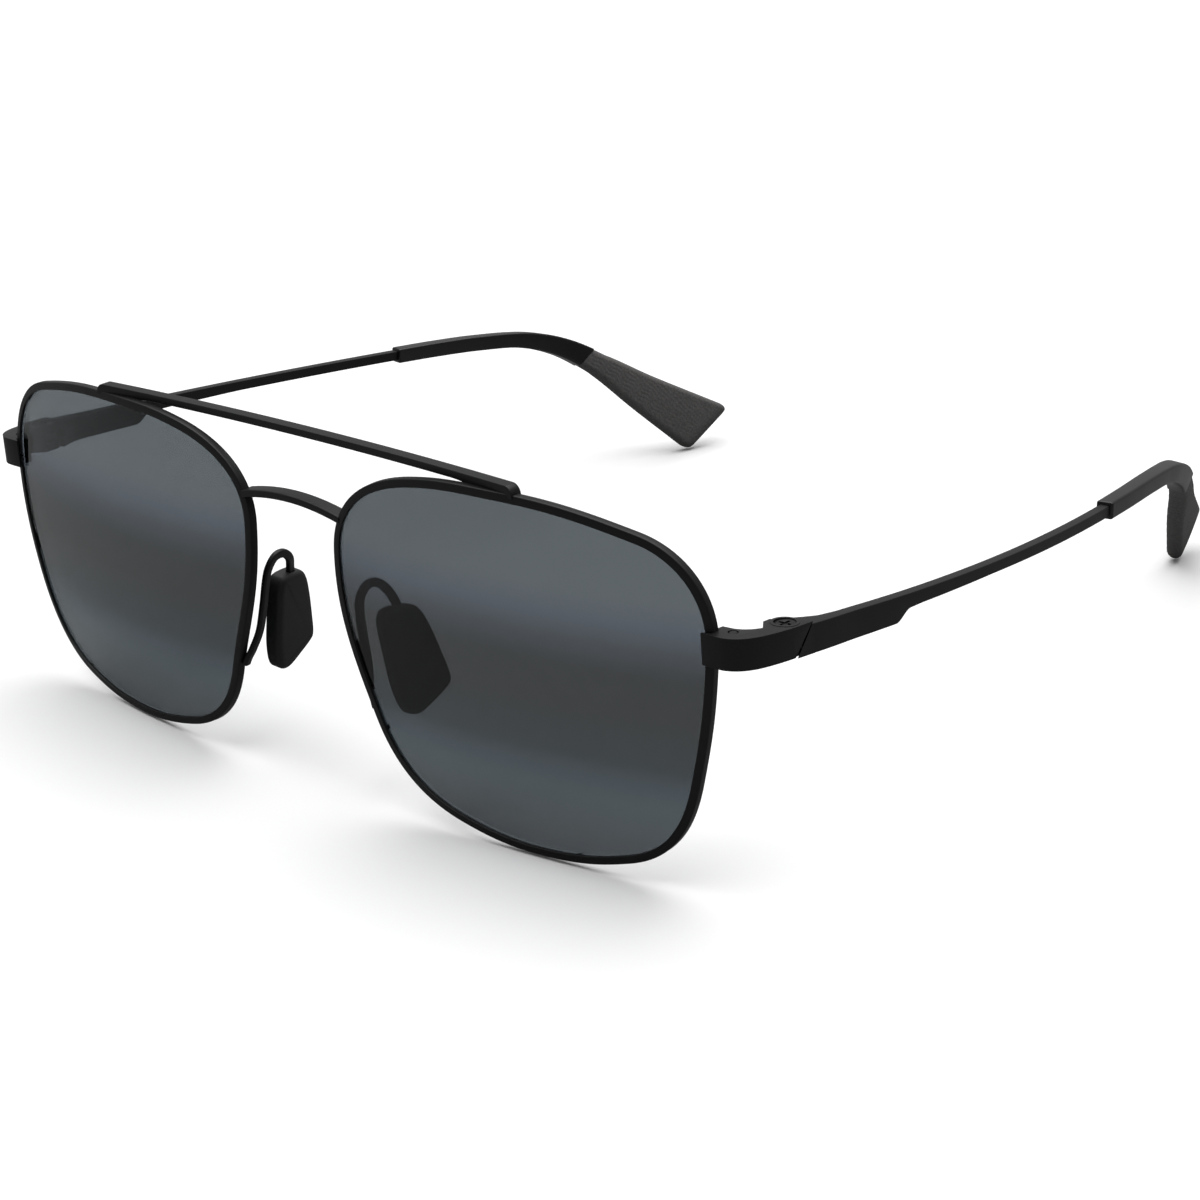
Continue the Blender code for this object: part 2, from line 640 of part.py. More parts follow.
def build():
    clear_scene()
    front = bpy.data.objects.new("front", None)
    bpy.context.scene.collection.objects.link(front)
    front.location = (0.0, FRONT_Y * MM, FRONT_Z * MM)
    metal = make_material("matt_black_metal", (0.012, 0.012, 0.013), 0.5, 0.8)
    steel = make_material("dark_screw_steel", (0.03, 0.03, 0.03), 0.35, 1.0)
    glass = make_material("grey_lens", (0.08, 0.09, 0.1), 0.05, 0.2)
    plastic = make_material("black_tip_plastic", (0.015, 0.015, 0.016), 0.3, 0.0)
    rubber = make_material("black_pad_rubber", (0.01, 0.01, 0.011), 0.6, 0.0)
    grip = make_material("grey_tip_rubber", (0.05, 0.05, 0.052), 0.7, 0.0)
    for side in SIDES:
        maker = Builder(side, front)
        maker.add_pivot("hinge", (HINGE_X, HINGE_Y, SLOT_TOP))
        maker.solid(f"lens_{side}", lens_shape(), glass)
        maker.solid(f"rim_{side}", rim_shape(), metal)
        make_endpiece(maker, metal)
        make_rim_lock(maker, metal, steel)
        make_hinge_hardware(maker, steel)
        make_pad(maker, metal, rubber)
        make_temple(maker, metal)
        maker.solid(f"tip_sleeve_{side}", sleeve_shape(), plastic, "hinge")
        maker.solid(f"tip_grip_{side}", grip_shape(), grip, "hinge")
    maker = Builder("left", front)
    maker.solid("brow_bar", brow_bar_shape(), metal)
    maker.solid("nose_bridge", bridge_shape(), metal)


build()
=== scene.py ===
"""Looks for the aviator sunglasses: fine surfaces, materials, camera, floor and lights.

Sizes are millimetres in the front's own frame, as in the CAD model: +X to the wearer's left,
+Y from the front to the back, +Z up, origin midway between the lens centres. Left pieces are
modelled and mirrored to the right.
"""
import json
import math

import bmesh
import bpy
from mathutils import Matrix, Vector


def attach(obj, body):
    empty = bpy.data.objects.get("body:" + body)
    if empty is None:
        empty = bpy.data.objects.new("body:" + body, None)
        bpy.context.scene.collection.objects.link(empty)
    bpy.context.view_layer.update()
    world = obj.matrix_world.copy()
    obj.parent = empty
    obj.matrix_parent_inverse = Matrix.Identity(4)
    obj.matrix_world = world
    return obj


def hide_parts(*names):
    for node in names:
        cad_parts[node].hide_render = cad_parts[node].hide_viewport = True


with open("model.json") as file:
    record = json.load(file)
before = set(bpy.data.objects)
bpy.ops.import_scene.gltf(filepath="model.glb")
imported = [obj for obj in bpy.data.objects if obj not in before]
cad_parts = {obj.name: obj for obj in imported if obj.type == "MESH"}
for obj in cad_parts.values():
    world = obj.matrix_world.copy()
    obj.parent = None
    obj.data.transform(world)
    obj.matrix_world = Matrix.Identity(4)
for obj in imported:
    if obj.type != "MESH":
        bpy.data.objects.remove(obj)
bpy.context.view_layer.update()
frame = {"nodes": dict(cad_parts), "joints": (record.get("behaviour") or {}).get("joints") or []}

MM = 0.001
SIDES = {"left": 1, "right": -1}

# The left hinge in the front's frame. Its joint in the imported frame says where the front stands
HINGE = Vector((67.3, 13.8, 7.25))
ORIGIN = Vector(frame["joints"][0]["pos_m"]) / MM - HINGE

# Lenses and rims
LENS_CENTRE_X = 36.5
WRAP = math.radians(6.16)
BASE_RADIUS = 132.0
LENS_THICKNESS = 1.2
LENS_RINGS = (0.12, 0.28, 0.44, 0.6, 0.74, 0.86, 0.94, 0.98)
TONGUE = (0.4, 0.08, 0.42)
FIT_GAP = 0.05
LENS_GAP = 0.01
OUTLINE = (
    (26.6, 7.4, 87),
    (17.7, 18.8, 167),
    (-2.3, 21.1, 180),
    (-15.1, 20.25, 190),
    (-27.6, 9.8, 269),
    (-22.45, -10.8, 290),
    (-10.7, -21.3, 346),
    (4.1, -22.75, 3),
    (14.0, -21.0, 16),
    (23.9, -9.4, 75),
)
OUTLINE_STEPS = 22
HANDLE = 0.39
RIM_WIDTH = 1.05
RIM_FRONT = -0.35
RIM_BACK = 0.75
RIM_ROUND = 0.16
RIM_INNER_ROUND = 0.12
RIM_CUT = 0.2

# Brow bar and nose bridge
BAR_HALF_LENGTH = 37.8
BAR_TOP = 23.15
BAR_HEIGHT = 1.0
BAR_FOOT_HEIGHT = 1.5
BAR_FOOT = (27.5, 33.0)
BAR_DEPTH = 1.6
BAR_FRONT_MIDDLE = 2.85
BAR_FRONT_END = 1.5
BAR_ROUND = 0.15
BAR_END_ROUND = 1.15
BRIDGE_HALF_LENGTH = 9.0
BRIDGE_TOP_MIDDLE = 15.25
BRIDGE_TOP_END = 14.2
BRIDGE_THICKNESS = 1.0
BRIDGE_FRONT = 0.2
BRIDGE_DEPTH = 2.1
BRIDGE_ROUND = 0.25

# Endpiece seen from above, and the small parts in it
ENDPIECE_OUTER = (
    (64.4, 4.95), (65.6, 5.12), (66.7, 5.7), (67.6, 6.65), (68.25, 7.9),
    (68.7, 9.4), (69.08, 11.2), (69.35, 13.2), (69.5, 16.0),
)
ENDPIECE_INNER = (
    (66.65, 10.7), (66.1, 9.7), (65.3, 8.9), (64.4, 8.45),
)
ENDPIECE_HINGE_SIDE = ((67.3, 16.0), (67.3, 13.8), (65.3, 13.6), (65.3, 12.4))
ENDPIECE_PLATE = ((62.9, 8.25), (62.9, 6.9), (63.45, 7.1), (63.5, 5.55), (62.5, 5.2), (62.45, 4.95))
ENDPIECE_BOTTOM = 5.85
ENDPIECE_TOP = 9.75
ENDPIECE_FALLS = (0.045, 0.07)
ENDPIECE_ROUND = 0.13
SLOPE_START = 5.0
LOCK_SPLIT = 7.4
LOCK_NOTCH = ((62.0, 6.38, 4.0), (66.0, 8.7, 7.42))
RIM_SCREW_XY = (65.05, 7.5)
RIM_SCREW_RADIUS = 0.5
RIM_SCREW_HEAD_RADIUS = 0.62
RIM_SCREW_HEAD = 0.4
SCREW_RING = 0.13
SCREW_SUNK = 0.04
SCREW_CHAMFER = 0.06

# Hinge
LEAF_RADIUS = 1.72
LEAF_PROUD = 0.06
SLOT_RADIUS = 1.8
KNUCKLE_RADIUS = 1.68
SLOT_BOTTOM = 6.5
SLOT_TOP = 8.0
SLOT_START = -1.25
SLOT_END = 3.4
WASHER = 0.22
WASHER_GAP = 0.04
PIVOT_RADIUS = 0.55
PIVOT_GAP = 0.03
HEAD_RADIUS = 1.3
HEAD_HEIGHT = 0.42
SCREW_TIP = 0.2
SUNK = 0.1
CROSS_SLOT = (0.85, 0.2)
CROSS_DEPTH = 0.25
SCREW_EDGE = 0.05
SEAM_Y = 14.5
SEAM_Z = 7.25
SEAM_LEAN = 0.84
SEAM_GAP = 0.07
SEAM_BLOCK = 6.0
SEAM_GROOVE = (0.3, 0.6)
SEAM_UNDERCUT = 1.4
SEAM_MOUTH = 0.2
NECK_SIDE = 1.2
NECK_FRONT = 0.9
LAP = 0.4
NOSE_FALL = 0.1145
NOSE_INSET = 0.03
OVER = 1.0

# Temple
TEMPLE_MIDDLE_Y = 45.0
TEMPLE_HALF_RUN = 35.0
TEMPLE_OUTER = (70.15, -0.875, -2.5)
TEMPLE_FLARE = (0.33, 15.9, 25.0)
TEMPLE_TOP = (5.6, -3.46, 0.33)
TEMPLE_THICKNESS = (
    (15.9, 3.4), (17.2, 2.7), (19.0, 1.9), (22.0, 1.55), (26.5, 1.5), (33.0, 1.45), (80.2, 1.45),
)
TEMPLE_HEIGHT = ((15.9, 3.65), (31.0, 3.33))
ARM_HEIGHT = ((33.2, 1.9), (35.5, 1.75), (42.0, 1.6), (50.0, 1.45), (80.2, 1.45))
STEP = (30.6, 33.4)
TEMPLE_ROUND = 0.18
TEMPLE_EDGE = 0.1

# Tip
TIP_PATH = (
    (65.95, 80.2, 1.7), (64.6, 87.5, 1.1), (62.8, 95.5, 0.3), (60.7, 103.5, -1.0),
    (58.3, 110.2, -3.7), (55.2, 116.2, -8.1), (51.4, 122.4, -13.8), (46.3, 131.6, -21.6),
)
PADDLE_NORMAL = (0.917, 0.331, -0.224)
TIP_SIZES = ((0.0, 2.3, 2.3), (0.35, 2.4, 2.4), (0.5, 3.1, 2.6), (0.62, 3.9, 2.8), (1.0, 10.0, 2.5))
CORE_END = 0.86
CORE_RADIUS = 0.5
CORE_GAP = 0.06
CORE_POCKET_END = 0.87
SLEEVE_START = 0.0025
SLEEVE_END = 0.58
GRIP_START = 0.581
SLANT = 0.36
SLANT_SPAN = (0.47, 0.57)
GRIP_EDGE = 0.9
GRIP_EDGE_STEPS = 8
GRIP_FACE_STEPS = 40
GRIP_CROWN = 0.12
GRIP_ROUND_START = 0.972
GRIP_ROUND = ((0.98, 0.12), (0.987, 0.35), (0.993, 0.7), (0.998, 1.2), (1.0, 1.7))
SLEEVE_ROUND = 0.42
SLEEVE_LIP = ((SLEEVE_START, 0.25), (SLEEVE_START + 0.001, 0.1), (SLEEVE_START + 0.0025, 0.0))
RIDGE_PITCH = 0.6
RIDGE_HEIGHT = 0.03
RIDGE_SLANT = 0.22
RIDGE_WAVE = 0.12
RIDGE_WAVE_LENGTH = 3.6
RIDGE_WAVE_TURN = 1.9
RIDGE_FADE = 0.02
RIDGE_END = (0.955, 0.975)
RIDGE_SIDES = (0.35, 0.8)

# Nose pads and their arms
PAD_CENTRE = (11.7, 8.0, -5.5)
PAD_UP = (-0.165, 0.115, 0.98)
PAD_REAR = (0.22, 0.95, -0.2)
PAD_OUTLINE = (
    (-3.7, 5.6), (-2.9, 6.3), (0.6, 6.3), (1.9, 5.1), (3.2, 1.9), (5.0, -3.8),
    (4.7, -4.9), (0.4, -7.6), (-1.0, -7.7), (-2.0, -7.0), (-3.0, -4.0), (-4.0, 4.3),
)
PAD_HALF_THICKNESS = 1.3
PAD_ROUND = 0.75
PAD_FLAT = 0.35
PAD_CORNER = 1.5
ARM_PATH = (
    (12.25, 0.6, -10.3), (11.85, 0.75, -9.4), (11.25, 1.2, -8.1), (10.5, 2.0, -5.7), (9.7, 2.4, -2.2),
    (9.1, 2.7, 1.0), (8.85, 3.2, 2.8), (8.8, 4.4, 4.0), (8.9, 5.9, 4.0), (9.25, 7.1, 2.9),
    (10.0, 7.7, 1.2), (10.6, 8.0, -1.0), (10.85, 8.1, -2.6),
)
ARM_WIDTH = 1.15
ARM_THICKNESS = 0.75
ARM_ROUND = 0.28
ARM_STEPS = 8
ARM_INTO_PAD = 9
PAD_SLOT_GAP = 0.06

# Stage
FLOOR_HALF = 40.0
SUN_POWER = 3.0
SUN_WIDTH = 75.0
SUN_AIM = (0.1, -0.1, -1.0)
BRIGHT_SIDE = (-0.35, 0.45, 0.8)
WORLD_DIM = 0.1
WORLD_BRIGHT = 0.4
FLOOR_SOFT = 0.22
FLOOR_SEEN = 0.93


# ---------------------------------------------------------------- plane shapes

def fillet(corners, radius, steps=4):
    """A closed outline with rounded corners. The radius is one number, or one for each corner."""
    count = len(corners)
    radii = radius if isinstance(radius, (list, tuple)) else [radius] * count
    points = []
    for i, corner in enumerate(corners):
        here = Vector(corner)
        if radii[i] == 0:
            points.append(here)
            continue
        before, after = Vector(corners[i - 1]), Vector(corners[(i + 1) % count])
        start = here + (before - here).normalized() * min(radii[i], (before - here).length * 0.48)
        end = here + (after - here).normalized() * min(radii[i], (after - here).length * 0.48)
        for step in range(steps + 1):
            t = step / steps
            points.append((1 - t) ** 2 * start + 2 * t * (1 - t) * here + t * t * end)
    return points


def oblong(width, thickness, radius, steps=4):
    w, t = width / 2, thickness / 2
    return fillet([(w, -t), (w, t), (-w, t), (-w, -t)], radius, steps)


def smooth_path(points, steps):
    """Catmull-Rom curve through the points."""
    knots = [Vector(p) for p in points]
    knots = [2 * knots[0] - knots[1]] + knots + [2 * knots[-1] - knots[-2]]
    path = []
    for i in range(1, len(knots) - 2):
        a, b, c, d = knots[i - 1:i + 3]
        for step in range(steps):
            t = step / steps
            path.append(0.5 * (2 * b + (c - a) * t + (2 * a - 5 * b + 4 * c - d) * t ** 2
                               + (3 * b - a - 3 * c + d) * t ** 3))
    return path + [knots[-2]]


def circle(radius, centre=(HINGE.x, HINGE.y), count=64, start=0.0, end=math.tau):
    whole = abs(end - start - math.tau) < 1e-9
    steps = count if whole else count - 1
    angles = [start + (end - start) * i / steps for i in range(count)]
    return [(centre[0] + radius * math.cos(a), centre[1] + radius * math.sin(a)) for a in angles]


def between(table, x):
    """Straight-line value at x in a table of (x, value) rows."""
    if x <= table[0][0]:
        return table[0][1]
    for (x0, v0), (x1, v1) in zip(table, table[1:]):
        if x <= x1:
            return v0 + (v1 - v0) * (x - x0) / (x1 - x0)
    return table[-1][1]


def ease(x, low, high):
    t = min(1.0, max(0.0, (x - low) / (high - low)))
    return t * t * (3 - 2 * t)


def spread(low, high, steps):
    return [low + (high - low) * i / steps for i in range(steps + 1)]


# ---------------------------------------------------------------- solid shapes

def loft(rings, closed=False, tips=None):
    """Skin between rings of equal length. The ends are filled, fanned to tips, or joined up."""
    count = len(rings[0])
    points = [Vector(point) for ring in rings for point in ring]
    faces = []
    spans = len(rings) if closed else len(rings) - 1
    for ring in range(spans):
        start = ring * count
        after = ((ring + 1) % len(rings)) * count
        for i in range(count):
            j = (i + 1) % count
            faces.append((start + i, start + j, after + j, after + i))
    last = (len(rings) - 1) * count
    if tips:
        points += [Vector(tip) for tip in tips]
        first_tip = len(points) - 2
        for i in range(count):
            j = (i + 1) % count
            faces.append((first_tip, j, i))
            faces.append((first_tip + 1, last + i, last + j))
    elif not closed:
        faces.append(tuple(reversed(range(count))))
        faces.append(tuple(range(last, last + count)))
    return points, faces


def prism(plan, bottom, top, falls=(0.0, 0.0)):
    """A plan outline pulled up in Z. The bottom and the top fall towards the back by their slopes."""
    low = [(x, y, bottom - falls[0] * (y - SLOPE_START)) for x, y in plan]
    high = [(x, y, top - falls[1] * (y - SLOPE_START)) for x, y in plan]
    return loft([low, high])


def disc(radius, bottom, top, centre=(HINGE.x, HINGE.y)):
    return prism(circle(radius, centre), bottom, top)


def stepped(profile, centre):
    """A solid pin turned from (radius, height) steps, bottom to top."""
    return loft([[(x, y, height) for x, y in circle(radius, centre)] for radius, height in profile])


def box(low, high):
    plan = [(low[0], low[1]), (high[0], low[1]), (high[0], high[1]), (low[0], high[1])]
    return prism(plan, low[2], high[2])


def section_ring(centre, across, over, section):
    return [centre + across * a + over * b for a, b in section]


# ---------------------------------------------------------------- objects

def mesh_object(name, shape, sign):
    points, faces = shape
    mesh = bpy.data.meshes.new(name)
    placed = [(Vector((sign * p[0], p[1], p[2])) + ORIGIN) * MM for p in points]
    mesh.from_pydata(placed, [], faces)
    form = bmesh.new()
    form.from_mesh(mesh)
    bmesh.ops.recalc_face_normals(form, faces=form.faces)
    form.to_mesh(mesh)
    form.free()
    item = bpy.data.objects.new(name, mesh)
    bpy.context.scene.collection.objects.link(item)
    return item


def cut(item, shape, sign, operation="DIFFERENCE"):
    """Cuts a shape away from an object, or joins it, and keeps the result."""
    tool = mesh_object("tool", shape, sign)
    change = item.modifiers.new("cut", "BOOLEAN")
    change.operation = operation
    change.solver = "EXACT"
    change.object = tool
    settle(item)
    bpy.data.objects.remove(tool, do_unlink=True)


def settle(item):
    """Makes the modified shape the object's own mesh."""
    graph = bpy.context.evaluated_depsgraph_get()
    mesh = bpy.data.meshes.new_from_object(item.evaluated_get(graph))
    item.modifiers.clear()
    item.data = mesh


def round_edges(item, width, segments=3, angle=38):
    change = item.modifiers.new("round", "BEVEL")
    change.width = width * MM
    change.segments = segments
    change.limit_method = "ANGLE"
    change.angle_limit = math.radians(angle)
    settle(item)


def finish_piece(item, material, node, body, sharp=40):
    item.data.shade_smooth()
    item.data.set_sharp_from_angle(angle=math.radians(sharp))
    item.data.materials.clear()
    item.data.materials.append(material)
    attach(item, body)
    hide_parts(node)
    return item


# ---------------------------------------------------------------- lens and rim

def outline_points():
    """Points and outward normals round the lens, in the lens's own plane."""
    points = []
    for i, (u0, v0, h0) in enumerate(OUTLINE):
        u1, v1, h1 = OUTLINE[(i + 1) % len(OUTLINE)]
        a, d = Vector((u0, v0)), Vector((u1, v1))
        reach = (d - a).length * HANDLE
        b = a + reach * Vector((math.cos(math.radians(h0)), math.sin(math.radians(h0))))
        c = d - reach * Vector((math.cos(math.radians(h1)), math.sin(math.radians(h1))))
        for step in range(OUTLINE_STEPS):
            t = step / OUTLINE_STEPS
            point = (1 - t) ** 3 * a + 3 * (1 - t) ** 2 * t * b + 3 * (1 - t) * t ** 2 * c + t ** 3 * d
            slope = (1 - t) ** 2 * (b - a) + 2 * (1 - t) * t * (c - b) + t ** 2 * (d - c)
            points.append((point, Vector((slope.y, -slope.x)).normalized()))
    return points


def on_lens(flat, depth):
    """Lens plane to the front frame: bent onto the base curve, then wrapped round the face."""
    u, v = flat
    w = BASE_RADIUS - math.sqrt(BASE_RADIUS ** 2 - u * u - v * v) + depth
    return Vector((LENS_CENTRE_X + u * math.cos(WRAP) - w * math.sin(WRAP),
                   u * math.sin(WRAP) + w * math.cos(WRAP), v))


def lens_shape():
    outline = outline_points()
    height, front, back = TONGUE
    edge = ((-LENS_GAP, 0.0), (-LENS_GAP, front), (height, front),
            (height, back), (-LENS_GAP, back), (-LENS_GAP, LENS_THICKNESS))
    rings = [[on_lens(p * size, 0.0) for p, n in outline] for size in LENS_RINGS]
    rings += [[on_lens(p + n * out, depth) for p, n in outline] for out, depth in edge]
    rings += [[on_lens(p * size, LENS_THICKNESS) for p, n in outline] for size in reversed(LENS_RINGS)]
    return loft(rings, tips=(on_lens((0, 0), 0.0), on_lens((0, 0), LENS_THICKNESS)))


def rim_shape():
    height, front, back = TONGUE
    groove = height + FIT_GAP
    corners = ((0.0, RIM_FRONT), (RIM_WIDTH, RIM_FRONT), (RIM_WIDTH, RIM_BACK), (0.0, RIM_BACK),
               (0.0, back + FIT_GAP), (groove, back + FIT_GAP), (groove, front - FIT_GAP),
               (0.0, front - FIT_GAP))
    section = fillet(corners, (RIM_INNER_ROUND, RIM_ROUND, RIM_ROUND, RIM_INNER_ROUND, 0, 0, 0, 0))
    outline = outline_points()
    outline.append(outline[0])
    for end, beside in ((0, 1), (-1, -2)):
        point, normal = outline[end]
        outline[end] = (point.lerp(outline[beside][0], RIM_CUT), normal)
    return loft([[on_lens(p + n * out, depth) for out, depth in section] for p, n in outline])


# ---------------------------------------------------------------- bars

def bar_stations():
    """Places along the brow bar and how far its top has come down there: each end rolls over."""
    straight = BAR_HALF_LENGTH - BAR_END_ROUND
    middle = [(x, 0.0) for x in spread(-straight, straight, 80)]
    roll = [math.radians(angle) for angle in range(10, 91, 10)]
    end = [(straight + BAR_END_ROUND * math.sin(a), BAR_END_ROUND * (1 - math.cos(a))) for a in roll]
    return [(-x, drop) for x, drop in reversed(end)] + middle + end


def brow_bar_shape():
    rings = []
    for x, drop in bar_stations():
        across = x / BAR_HALF_LENGTH
        y = BAR_FRONT_MIDDLE + (BAR_FRONT_END - BAR_FRONT_MIDDLE) * across ** 2 + BAR_DEPTH / 2
        bottom = BAR_TOP - BAR_HEIGHT - (BAR_FOOT_HEIGHT - BAR_HEIGHT) * ease(abs(x), *BAR_FOOT)
        height = BAR_TOP - drop - bottom
        section = oblong(BAR_DEPTH, height, min(BAR_ROUND, 0.4 * height))
        centre = Vector((x, y, bottom + height / 2))
        rings.append(section_ring(centre, Vector((0, 1, 0)), Vector((0, 0, 1)), section))
    return loft(rings)


def bridge_shape():
    rings = []
    for x in spread(-BRIDGE_HALF_LENGTH, BRIDGE_HALF_LENGTH, 48):
        across = x / BRIDGE_HALF_LENGTH
        top = BRIDGE_TOP_MIDDLE + (BRIDGE_TOP_END - BRIDGE_TOP_MIDDLE) * across ** 2
        centre = Vector((x, BRIDGE_FRONT + BRIDGE_DEPTH / 2, top - BRIDGE_THICKNESS / 2))
        rings.append(section_ring(centre, Vector((0, 1, 0)), Vector((0, 0, 1)),
                                  oblong(BRIDGE_DEPTH, BRIDGE_THICKNESS, BRIDGE_ROUND)))
    return loft(rings)


# ---------------------------------------------------------------- temple and tip

def bow(terms, y):
    """A long shallow curve along the temple."""
    s = (y - TEMPLE_MIDDLE_Y) / TEMPLE_HALF_RUN
    return terms[0] + terms[1] * s + terms[2] * s * s


def temple_outer(y):
    """The temple's outer side, which flares to meet the endpiece."""
    reach, low, high = TEMPLE_FLARE
    return bow(TEMPLE_OUTER, y) + reach * (1 - ease(y, low, high))


def temple_height(y):
    drop = ease(y, *STEP)
    return between(TEMPLE_HEIGHT, y) * (1 - drop) + between(ARM_HEIGHT, y) * drop


def tip_frame(share):
    """Centre, then the directions across the paddle, through it and along it, at a share of the length."""
    path = TIP_CURVE
    lengths = TIP_LENGTHS
    goal = share * lengths[-1]
    i = max(k for k in range(len(path) - 1) if lengths[k] <= goal + 1e-9)
    t = (goal - lengths[i]) / (lengths[i + 1] - lengths[i])
    point = path[i].lerp(path[i + 1], t)
    here = path[min(i + 1, len(path) - 1)] - path[max(i - 1, 0)]
    ahead = path[min(i + 2, len(path) - 1)] - path[i]
    along = here.normalized().lerp(ahead.normalized(), t).normalized()
    normal = Vector((1, 0, 0)).lerp(Vector(PADDLE_NORMAL), share)
    normal = (normal - along * normal.dot(along)).normalized()
    return point, normal.cross(along), normal, along


def measured(path):
    lengths = [0.0]
    for a, b in zip(path, path[1:]):
        lengths.append(lengths[-1] + (b - a).length)
    return lengths


TIP_CURVE = smooth_path(TIP_PATH, 12)
TIP_LENGTHS = measured(TIP_CURVE)


def tip_size(share):
    widths = [(s, w) for s, w, t in TIP_SIZES]
    thicknesses = [(s, t) for s, w, t in TIP_SIZES]
    return between(widths, share), between(thicknesses, share)


def core_ring(share, radius, count):
    point, across, normal, along = tip_frame(share)
    section = []
    for i in range(count):
        angle = math.tau * (i + 0.5) / count
        section.append((radius * math.sin(angle), -radius * math.cos(angle)))
    return section_ring(point, across, normal, section)


def slant(share):
    """How far the sections lean along the tip for each millimetre across it."""
    return SLANT * ease(share, *SLANT_SPAN)


def sleeve_ring(share, shrink):
    """Outer section of the sleeve, which comes to lean like the grip."""
    point, across, normal, along = tip_frame(share)
    width, thickness = tip_size(share)
    rounding = min(SLEEVE_ROUND, 0.48 * (thickness - shrink))
    section = oblong(width - shrink, thickness - shrink, rounding, 5)
    return [point + across * a + normal * b + along * slant(share) * a for a, b in section]


def temple_shape():
    stations = spread(15.9, 22.0, 12)[:-1] + spread(22.0, 30.4, 8)[:-1] + spread(30.4, 33.6, 16)[:-1]
    stations += spread(33.6, 80.2, 40)
    rings = []
    for y in stations:
        thickness, height = between(TEMPLE_THICKNESS, y), temple_height(y)
        centre = Vector((temple_outer(y) - thickness / 2, y, bow(TEMPLE_TOP, y) - height / 2))
        rings.append(section_ring(centre, Vector((0, 0, 1)), Vector((1, 0, 0)),
                                  oblong(height, thickness, TEMPLE_ROUND)))
    count = len(rings[0])
    rings += [core_ring(share, CORE_RADIUS, count) for share in spread(0.0, CORE_END, 40)]
    return loft(rings)


def sleeve_shape():
    places = list(SLEEVE_LIP)
    places += [(share, 0.0) for share in spread(SLEEVE_START + 0.006, SLEEVE_END, 60)]
    outer = [sleeve_ring(share, shrink) for share, shrink in places]
    inner = [core_ring(share, CORE_RADIUS + CORE_GAP, len(outer[0])) for share, shrink in places]
    return loft(outer + inner[::-1], closed=True)


def grip_ring(share, shrink):
    """Section of the grip: broad sides of many points for the ridges, and rounded edges."""
    point, across, normal, along = tip_frame(share)
    width, thickness = tip_size(share)
    lean = slant(share)
    a, b = (width - shrink) / 2, (thickness - shrink) / 2
    edge = min(GRIP_EDGE, 0.45 * a)
    section = []
    for side in (1, -1):
        section += [(side * (edge - a + 2 * (a - edge) * i / GRIP_FACE_STEPS), -side * b)
                    for i in range(GRIP_FACE_STEPS + 1)]
        for step in range(1, GRIP_EDGE_STEPS):
            angle = math.pi * step / GRIP_EDGE_STEPS - math.pi / 2
            section.append((side * (a - edge + edge * math.cos(angle)), side * b * math.sin(angle)))
    return [point + across * x + normal * y * crown(x / a) + along * lean * x for x, y in section]


def crown(across):
    """The paddle is thickest along its middle."""
    return 1.0 - GRIP_CROWN * across * across


def grip_shape():
    places = [(share, 0.0) for share in spread(GRIP_START, GRIP_ROUND_START, 150)]
    places += GRIP_ROUND
    outer = [ridged(grip_ring(share, shrink), share) for share, shrink in places]
    inner = [core_ring(share, CORE_RADIUS + CORE_GAP, len(outer[0]))
             for share in spread(CORE_POCKET_END, GRIP_START, 12)]
    return loft(inner + outer)


def ridged(ring, share):
    """Raises fine wavy ridges, slanting across the paddle, on the section's broad sides."""
    point, across, normal, along = tip_frame(share)
    run = share * TIP_LENGTHS[-1]
    fade = ease(share, GRIP_START, GRIP_START + RIDGE_FADE) * (1 - ease(share, *RIDGE_END))
    raised = []
    for spot in ring:
        side, through = (spot - point).dot(across), (spot - point).dot(normal)
        wave = RIDGE_WAVE * (math.sin(math.tau * run / RIDGE_WAVE_LENGTH)
                             + math.sin(RIDGE_WAVE_TURN * run + side))
        phase = math.tau * (side + RIDGE_SLANT * run + wave) / RIDGE_PITCH
        flat = ease(abs(through), *RIDGE_SIDES)
        lift = RIDGE_HEIGHT * fade * flat * (0.5 + 0.5 * math.sin(phase))
        raised.append(spot + normal * math.copysign(lift, through))
    return raised


# ---------------------------------------------------------------- hinge and endpiece

def leaf_top():
    return ENDPIECE_TOP - ENDPIECE_FALLS[1] * (HINGE.y - SLOPE_START)


def rim_screw_top():
    return ENDPIECE_TOP - ENDPIECE_FALLS[1] * (RIM_SCREW_XY[1] - SLOPE_START)


def seam_block(gap, behind):
    """A block with one face on the slanted seam moved back by gap, behind the seam or before it."""
    far_y = SEAM_Y + (SEAM_BLOCK if behind else -SEAM_BLOCK)
    rings = []
    for z in (ENDPIECE_BOTTOM - OVER, ENDPIECE_TOP + OVER):
        near_y = SEAM_Y + SEAM_LEAN * (z - SEAM_Z) + gap
        rings.append([(HINGE.x - SEAM_BLOCK, near_y, z), (HINGE.x + SEAM_BLOCK, near_y, z),
                      (HINGE.x + SEAM_BLOCK, far_y, z), (HINGE.x - SEAM_BLOCK, far_y, z)])
    return loft(rings)


def seam_groove(outer):
    """The narrow groove along the seam on the temple's outer side, wider inside than at its mouth."""
    width, depth = SEAM_GROOVE
    rings = []
    for z in (ENDPIECE_BOTTOM - OVER, ENDPIECE_TOP + OVER):
        seam_y = SEAM_Y + SEAM_LEAN * (z - SEAM_Z)
        rings.append([(outer - depth, seam_y - OVER, z), (outer + SEAM_MOUTH, seam_y - OVER, z),
                      (outer + SEAM_MOUTH, seam_y + width - SEAM_MOUTH * SEAM_UNDERCUT, z),
                      (outer - depth, seam_y + width + depth * SEAM_UNDERCUT, z)])
    return loft(rings)


